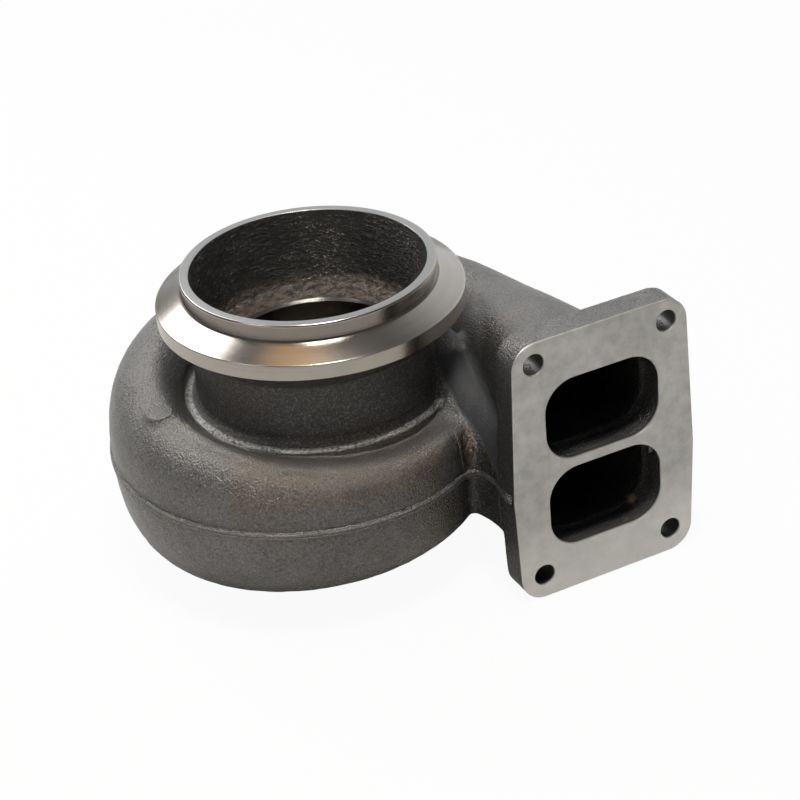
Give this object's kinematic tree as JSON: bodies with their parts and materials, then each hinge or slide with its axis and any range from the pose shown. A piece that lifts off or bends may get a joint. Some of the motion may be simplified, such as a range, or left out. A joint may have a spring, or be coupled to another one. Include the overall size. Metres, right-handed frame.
{
  "type": "turbocharger turbine housing",
  "caption": "Cast iron twin-scroll turbine housing with a divided inlet flange, a spiral scroll and a machined V-band outlet.",
  "frame": {"origin": "on the turbine axis, in the plane of the seat for the bearing housing", "axes": "+Z along the turbine axis towards the exhaust outlet; the inlet flange faces -Y and lies on the +X side"},
  "size_m": [0.2492, 0.2309, 0.1526],
  "materials": {
    "casting": "as cast, machined at the joint faces"
  },
  "bodies": {
    "root": {"turbine_housing": "casting"}
  },
  "joints": []
}
